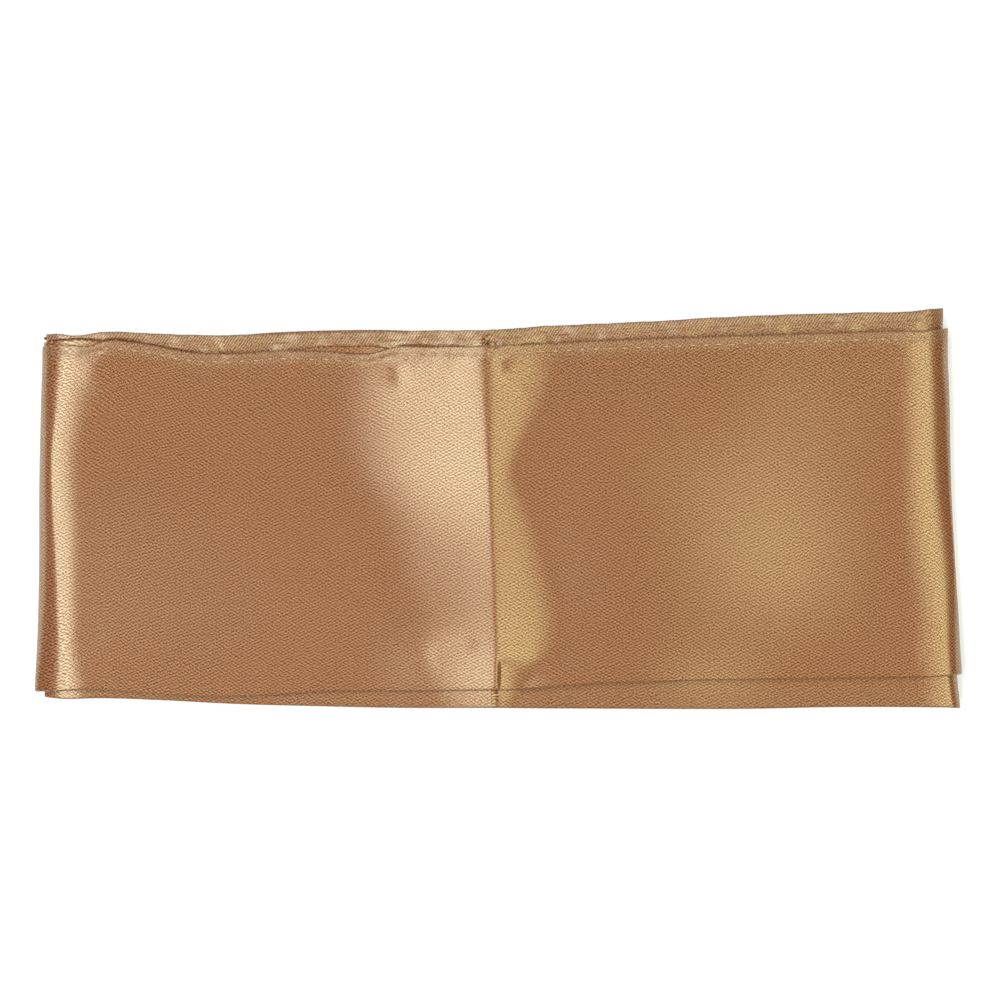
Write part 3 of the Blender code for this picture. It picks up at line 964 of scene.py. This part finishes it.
class SashSewing(bpy.types.PropertyGroup):
    """The stitches of the hems."""

    pitch: FloatProperty(name="Pitch", description="Between stitches", default=3.4 * MM, subtype="DISTANCE")
    stitch: FloatProperty(name="Stitch", description="What shows", default=1.4 * MM, subtype="DISTANCE")
    thread: FloatProperty(name="Thread", description="Its thickness", default=0.5 * MM, subtype="DISTANCE")


class SashStudio(bpy.types.PropertyGroup):
    """Lights, floor and camera."""

    left: FloatProperty(name="Left light", description="Watts", default=298.0)
    right: FloatProperty(name="Right light", description="Watts", default=189.0)
    room: FloatProperty(name="Room", description="Strength of the room's light", default=0.07)
    left_colour: FloatVectorProperty(
        name="Left colour", description="Left light", subtype="COLOR", default=(0.96, 1.0, 0.95)
    )
    right_colour: FloatVectorProperty(
        name="Right colour", description="Right light", subtype="COLOR", default=(0.96, 0.98, 0.69)
    )
    distance: FloatProperty(name="Camera", description="Over the floor", default=2.5, subtype="DISTANCE")
    view: FloatProperty(name="View", description="Width of the picture", default=0.25, subtype="DISTANCE")


def ply_and_hem():
    """The ply's thickness and the hem's width, in millimetres."""
    cloth = bpy.context.scene.sash_cloth
    return cloth.ply / MM, cloth.hem / MM


def fine_stations(first=0.0, last=4.0):
    """The stations of a length that shows."""
    return stations(first, last, ROLL_STEPS, bpy.context.scene.sash_cloth.grid)


def towards_ends(s, full_at=0.7):
    """0 at a packet's end and 1 from a little way up its roll."""
    return ease(np.minimum(s, 4.0 - s) / full_at)


def risen(inwards, lift, depth):
    """The whole lift from a hem to a depth inwards of it, and none from RISE_LENGTH further in."""
    return lift * ease((depth + RISE_LENGTH - inwards) / RISE_LENGTH)


def beside(away, middle, width):
    """A bell round a middle: exp(-((away - middle) / width)^2)."""
    return np.exp(-(((away - middle) / width) ** 2))


def top_lift(x, y, s):
    """The top length's upper ply: lifted over the rear hem, with its own hem's relief."""
    line = ply_and_hem()[1] * STITCH_LINE
    lift = risen(curve(BACK_EDGES, "hem", x) - y, *TOP_HEM_LIFT)
    relief = hem_relief(x, curve(TOP_EDGES, "hem", x) - y, line, *TOP_PUCKERS)
    return (lift + relief) * towards_ends(s)


def upper_lift(x, y, s):
    """The upper length's upper ply: eased up to its hem, with its relief and a dip behind the top length."""
    line = ply_and_hem()[1] * STITCH_LINE
    inwards = curve(UPPER_EDGES, "hem", x) - y
    lift = risen(inwards, *UPPER_HEM_LIFT)
    relief = hem_relief(x + UPPER_PUCKERS_START, inwards, line, *UPPER_PUCKERS)
    step = np.maximum(curve(TOP_EDGES, "hem", x), curve(BACK_EDGES, "hem", x))
    dip = curve(TOP_EDGES, "hem_dip", x) * beside(y - step, *HEM_DIP)
    return (lift + relief - dip) * towards_ends(s)


def lower_lift(x, y, s):
    """The lower length's upper ply: a dip in front of the top length's fold, and lifted at its own."""
    height, depth = LOWER_FOLD_LIFT
    from_fold = y - curve(LOWER_EDGES, "fold", x)
    lift = height * np.clip(1.0 - from_fold / depth, 0.0, 1.0) ** 2
    dip = curve(TOP_EDGES, "fold_dip", x) * beside(y - curve(TOP_EDGES, "fold", x), *FOLD_DIP)
    return (lift - dip) * towards_ends(s)


def make_top():
    """The top length, both plies: hem, top, soft front fold, and the rear ply back to its own hem."""
    s = fine_stations()
    fold = edge(TOP_EDGES, "fold", WALL / 2)
    rows = rows_of(TOP_DEPTH, HEM_ROWS, 1.15, FOLD_ROWS)
    upper = skin(s, rows, edge(TOP_EDGES, "hem"), fold, lift=top_lift)
    rear = skin(s, rows_of(TOP_DEPTH, FEW_HEM_ROWS, 8.0, FOLD_ROWS[::2]), edge(BACK_EDGES, "hem"), fold)
    return Length(upper, rear, *ply_and_hem(), turned=(0.6, 0.1))


def make_upper():
    """The upper length: the two plies of its rear part, each with its hem, as deep as it is built."""
    s = fine_stations(*UPPER_STATIONS)
    fold = edge(UPPER_EDGES, "hem", -SHOWN_DEPTH)
    rows = rows_of(SHOWN_DEPTH, HEM_ROWS, 2.0, (0.0,))
    upper = skin(s, rows, edge(UPPER_EDGES, "hem"), fold, NEST, upper_lift)
    rear = skin(s, rows_of(SHOWN_DEPTH, FEW_HEM_ROWS, 9.0, (0.0,)), edge(UPPER_EDGES, "rear"), fold, NEST)
    # The wrong side shows at the hem; the 0.35 share beyond it is partly the cloth's wrong side and partly
    # painted light on the band behind the top length.
    return Length(upper, rear, *ply_and_hem(), turned=(1.0, 0.35))


def make_lower():
    """The lower length: the two plies of its front part, and the soft fold between them."""
    ply = ply_and_hem()[0]
    s = fine_stations(*LOWER_STATIONS)
    fold = edge(LOWER_EDGES, "fold", WALL / 2)
    inner = edge(LOWER_EDGES, "fold", SHOWN_DEPTH)
    near_fold = (11.0, 9.0, 7.5, 6.2, *FOLD_ROWS)
    upper = skin(s, rows_of(SHOWN_DEPTH, (0.0, 6.0), 4.0, near_fold), inner, fold, NEST, lower_lift)
    rear = skin(s, rows_of(SHOWN_DEPTH, (0.0, 10.0), 10.0, FOLD_ROWS[::2]), inner, fold, NEST)
    # The lower length has no hem: its shown face takes a fifth of the wrong side's lighter, bluer tone all
    # over, painted light thrown up from the pale floor.
    return Length(upper, rear, ply, NO_HEM, hem_thick=ply, turned=(0.2, 0.2))


def make_under():
    """The under length: flat underneath, its two ends turned up on a quarter circle.

    It is built as a length's skin from below, so its upper ply in the sense of Length lies on the floor.
    """
    s = stations(0.0, 4.0, UNDER_STEPS, bpy.context.scene.sash_cloth.grid // 3)
    fold = edge(UNDER_EDGES, "fold", WALL / 2)

    def turned_up(rows, moved):
        y = skin(s, rows, edge(UNDER_EDGES, "hem", moved), fold)[0][..., 1]
        five = knots(y)
        turned = np.broadcast_to(s[:, None], y.shape)
        angle = np.clip(np.minimum(turned, 4.0 - turned), 0.0, 1.0) * math.pi / 2
        radius = np.where(turned < 2.0, UNDER_TURN_LEFT, UNDER_TURN_RIGHT)
        inside = radius * (1.0 - np.cos(angle))
        x = np.where(turned <= 1.0, five[0] + inside, station_x(turned, y))
        x = np.where(turned >= 3.0, five[4] - inside, x)
        face = np.stack([x, y, radius * (1.0 - np.sin(angle))], axis=-1)
        return face, -normals(face)

    low = turned_up(rows_of(UNDER_DEPTH, FEW_HEM_ROWS, 8.0, FOLD_ROWS), 0.0)
    high = turned_up(rows_of(UNDER_DEPTH, FEW_HEM_ROWS, 8.0, FOLD_ROWS[::2]), -UNDER_REAR_INSET)
    return Length(low, high, *ply_and_hem(), hem_thick=UNDER_HEM_THICK)


def make_hidden():
    """The lengths between, as thin doubled ones, stacked evenly from the under length to the upper ones.

    Each one is the upper face scaled down to its share of the height: NEST + (z - NEST) * share.
    """
    s = stations(HIDDEN_END, 4.0 - HIDDEN_END, *HIDDEN_STEPS)
    made = []
    rows = rows_of(HIDDEN_DEPTH, FEW_HEM_ROWS, 12.0, FOLD_ROWS[::2])
    for number, row in enumerate(each(HIDDEN_EDGES), 1):
        share = number / HIDDEN_COUNT
        fold = edge(LOWER_EDGES, "fold", HIDDEN_FRONT_INSET + row["fold"])

        def stacked(column):
            hem = edge(UPPER_EDGES, "hem", -HIDDEN_BACK_INSET - row[column])
            face, _ = skin(s, rows, hem, fold, 2 * NEST)
            face[..., 2] = NEST + (face[..., 2] - NEST) * share
            return face, normals(face)

        upper, rear = stacked("hem"), stacked("rear")
        height = (upper[0][:, 4, 2] - NEST) / number * HIDDEN_SLACK
        made.append(Length(upper, rear, HIDDEN_PLY, HIDDEN_HEM, height, HIDDEN_HEM_THICK))
    return made


def uneven(at, size, turn):
    """How uneven the sewing is at a place: size * sin(turn * at)."""
    return size * np.sin(at * turn)


def make_stitches(name, material, rows, inset, lift, ends):
    """The stitches of a hem: short threads that dip into the cloth at both ends.

    Each one is a tube along the hem's line. At t of its length its middle rises by sin(pi t) of the thread,
    and its thickness keeps sqrt(sin(pi t)) of the full one.
    """
    sewing, hem = bpy.context.scene.sash_sewing, ply_and_hem()[1]
    pitch, stitch, thread = sewing.pitch / MM, sewing.stitch / MM, sewing.thread / MM
    centre = np.arange(*ends, pitch)
    centre = centre + uneven(centre, *STITCH_STRAY)
    reach = stitch / 2 * (1.0 + uneven(centre, *STITCH_STRETCH))
    t = np.linspace(0.0, 1.0, STITCH_STEPS + 1)
    x = centre[:, None] + reach[:, None] * (2 * t - 1)
    y = curve(rows, "hem", x) - hem * STITCH_LINE - uneven(x, *STITCH_SWERVE)
    z = rolled(x, y) + lift(x, y, np.full_like(x, 2.0)) - inset
    rise = np.sin(math.pi * t) * thread * STITCH_RISE
    line = np.stack([x, y, z + rise + STITCH_DENT * STITCH_SEAT], axis=-1)
    turn = np.linspace(0.0, 2 * math.pi, STITCH_SIDES + 1)[:-1]
    width = thread / 2 * np.sqrt(np.clip(np.sin(math.pi * t), 0.02, 1.0))
    ring = np.stack([np.zeros_like(turn), np.cos(turn), np.sin(turn)], axis=-1)
    points = line[:, :, None] + width[None, :, None, None] * ring
    count, size = len(t), len(turn)
    tube = bands(count, size)[:, ::-1]
    start = np.arange(size)
    faces = []
    for n in range(len(centre)):
        base = n * count * size
        faces += (tube + base).tolist()
        faces += [(start + base).tolist(), (start[::-1] + base + (count - 1) * size).tolist()]
    return add_mesh(name, points.reshape(-1, 3), faces, material)


# ---- Operators ----


class SASH_OT_top(bpy.types.Operator):
    """Make the length that lies on top"""

    bl_idname = "sash.top"
    bl_label = "Top length"

    def execute(self, context):
        item = add_lengths("top_cloth", [make_top()], satin_material("satin_shown"))
        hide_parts("top_length", "top_length_back")
        return {"FINISHED"}


class SASH_OT_upper(bpy.types.Operator):
    """Make the length whose hem shows behind the top one"""

    bl_idname = "sash.upper"
    bl_label = "Upper length"

    def execute(self, context):
        item = add_lengths("upper_cloth", [make_upper()], satin_material("satin_shown"))
        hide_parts("upper_length")
        return {"FINISHED"}


class SASH_OT_lower(bpy.types.Operator):
    """Make the length whose soft fold shows in front of the top one"""

    bl_idname = "sash.lower"
    bl_label = "Lower length"

    def execute(self, context):
        item = add_lengths("lower_cloth", [make_lower()], satin_material("satin_shown"))
        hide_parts("lower_length")
        return {"FINISHED"}


class SASH_OT_inner(bpy.types.Operator):
    """Make the lengths between, whose folds and hems show from the sides"""

    bl_idname = "sash.inner"
    bl_label = "Inner lengths"

    def execute(self, context):
        # A copy of the satin darkened to 0.85: painted shade for the lengths inside the packet.
        item = add_lengths("inner_cloth", make_hidden(), satin_material("satin_shaded", 0.85))
        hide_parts("hidden_layers")
        return {"FINISHED"}


class SASH_OT_under(bpy.types.Operator):
    """Make the length that the packet rests on"""

    bl_idname = "sash.under"
    bl_label = "Under length"

    def execute(self, context):
        item = add_lengths("under_cloth", [make_under()], satin_material("satin_shown"))
        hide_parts("under_length")
        return {"FINISHED"}


class SASH_OT_stitches(bpy.types.Operator):
    """Sew the hems that show"""

    bl_idname = "sash.stitches"
    bl_label = "Stitches"

    def execute(self, context):
        satin = context.scene.sash_satin
        above = make_thread("thread_above", satin.thread)
        below = make_thread("thread_below", satin.wrong_side)
        sunk = NEST + UPPER_SEAM_SINK
        for item in (
            make_stitches("top_stitches", above, TOP_EDGES, 0.0, top_lift, TOP_SEAM),
            make_stitches("upper_stitches", below, UPPER_EDGES, sunk, upper_lift, UPPER_SEAM),
        ):
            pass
        return {"FINISHED"}


class SASH_OT_stage(bpy.types.Operator):
    """Make the floor, the lights and the camera"""

    bl_idname = "sash.stage"
    bl_label = "Studio"

    FLOOR = 8.0
    FLOOR_DROP = 0.0002
    CENTRE = (0.00027, 0.00222, 0.006)
    LIGHT_AWAY = 4.8
    LIGHT_TILT = math.radians(30.5)
    LIGHT_SIZE = (3.4, 6.8)

    def execute(self, context):
        scene, studio = context.scene, context.scene.sash_studio
        self.make_floor()
        for name, side, power, tint in (
            ("left_light", -1, studio.left, studio.left_colour),
            ("right_light", 1, studio.right, studio.right_colour),
        ):
            self.make_light(name, side, power, tint)
        world = scene.world or bpy.data.worlds.new("room")
        scene.world = world
        world.use_nodes = True
        background = world.node_tree.nodes["Background"]
        background.inputs["Color"].default_value = (1.0, 1.0, 1.0, 1.0)
        background.inputs["Strength"].default_value = studio.room
        scene.view_settings.view_transform = "Standard"
        self.make_camera(scene, studio)
        return {"FINISHED"}

    def make_floor(self):
        """A large pale floor, just under the packet."""
        half = self.FLOOR / 2
        mesh = bpy.data.meshes.new("floor")
        corners = [(-half, -half), (half, -half), (half, half), (-half, half)]
        mesh.from_pydata([(x, y, -self.FLOOR_DROP) for x, y in corners], [], [(0, 1, 2, 3)])
        nodes = Nodes("pale_floor")
        matte = {"Base Color": (0.97, 0.97, 0.97, 1.0), "Roughness": 0.9, "Specular IOR Level": 0.1}
        glow = {"Emission Color": (0.7, 0.72, 1.0, 1.0), "Emission Strength": 0.37}
        nodes.put(nodes.shader, matte | glow)
        mesh.materials.append(nodes.material)
        floor = add_object("floor", mesh)
        floor.visible_diffuse = False

    def make_light(self, name, side, power, tint):
        """A large soft light, leaning out over one end of the packet and long in Y."""
        light = bpy.data.lights.new(name, "AREA")
        light.shape = "RECTANGLE"
        light.size, light.size_y = self.LIGHT_SIZE
        light.energy = power
        light.color = tint
        item = add_object(name, light)
        out, up = side * math.sin(self.LIGHT_TILT), math.cos(self.LIGHT_TILT)
        item.location = (out * self.LIGHT_AWAY, 0.0, up * self.LIGHT_AWAY)
        item.rotation_euler = (0.0, side * self.LIGHT_TILT, 0.0)

    def make_camera(self, scene, studio):
        """A camera that looks straight down, with the packet's long side level in the picture."""
        data = bpy.data.cameras.new("camera")
        x, y, z = self.CENTRE
        data.sensor_width = 36.0
        data.lens = data.sensor_width * (studio.distance - z) / studio.view
        data.clip_end = 20.0
        camera = add_object("camera", data)
        camera.location = (x, y, studio.distance)
        scene.camera = camera


PIECES = (SASH_OT_top, SASH_OT_upper, SASH_OT_lower, SASH_OT_inner, SASH_OT_under, SASH_OT_stitches)
GROUPS = {
    "sash_cloth": SashCloth,
    "sash_satin": SashSatin,
    "sash_sewing": SashSewing,
    "sash_studio": SashStudio,
}


class SASH_PT_panel(bpy.types.Panel):
    """The sash's settings and its pieces"""

    bl_idname = "SASH_PT_panel"
    bl_label = "Folded Satin Sash"
    bl_space_type = "VIEW_3D"
    bl_region_type = "UI"
    bl_category = "Sash"

    def draw(self, context):
        layout = self.layout
        for name, group in GROUPS.items():
            box = layout.box()
            box.label(text=group.__doc__)
            for field in group.__annotations__:
                box.prop(getattr(context.scene, name), field)
        for operator in (*PIECES, SASH_OT_stage):
            layout.operator(operator.bl_idname)


CLASSES = (*GROUPS.values(), *PIECES, SASH_OT_stage, SASH_PT_panel)


def register():
    for item in CLASSES:
        bpy.utils.register_class(item)
    for name, group in GROUPS.items():
        setattr(bpy.types.Scene, name, PointerProperty(type=group))


def unregister():
    for name in GROUPS:
        delattr(bpy.types.Scene, name)
    for item in reversed(CLASSES):
        bpy.utils.unregister_class(item)


def main():
    """Makes every piece and the stage."""
    register()
    bpy.ops.sash.top()
    bpy.ops.sash.upper()
    bpy.ops.sash.lower()
    bpy.ops.sash.inner()
    bpy.ops.sash.under()
    bpy.ops.sash.stitches()
    bpy.ops.sash.stage()


if __name__ == "__main__":
    main()
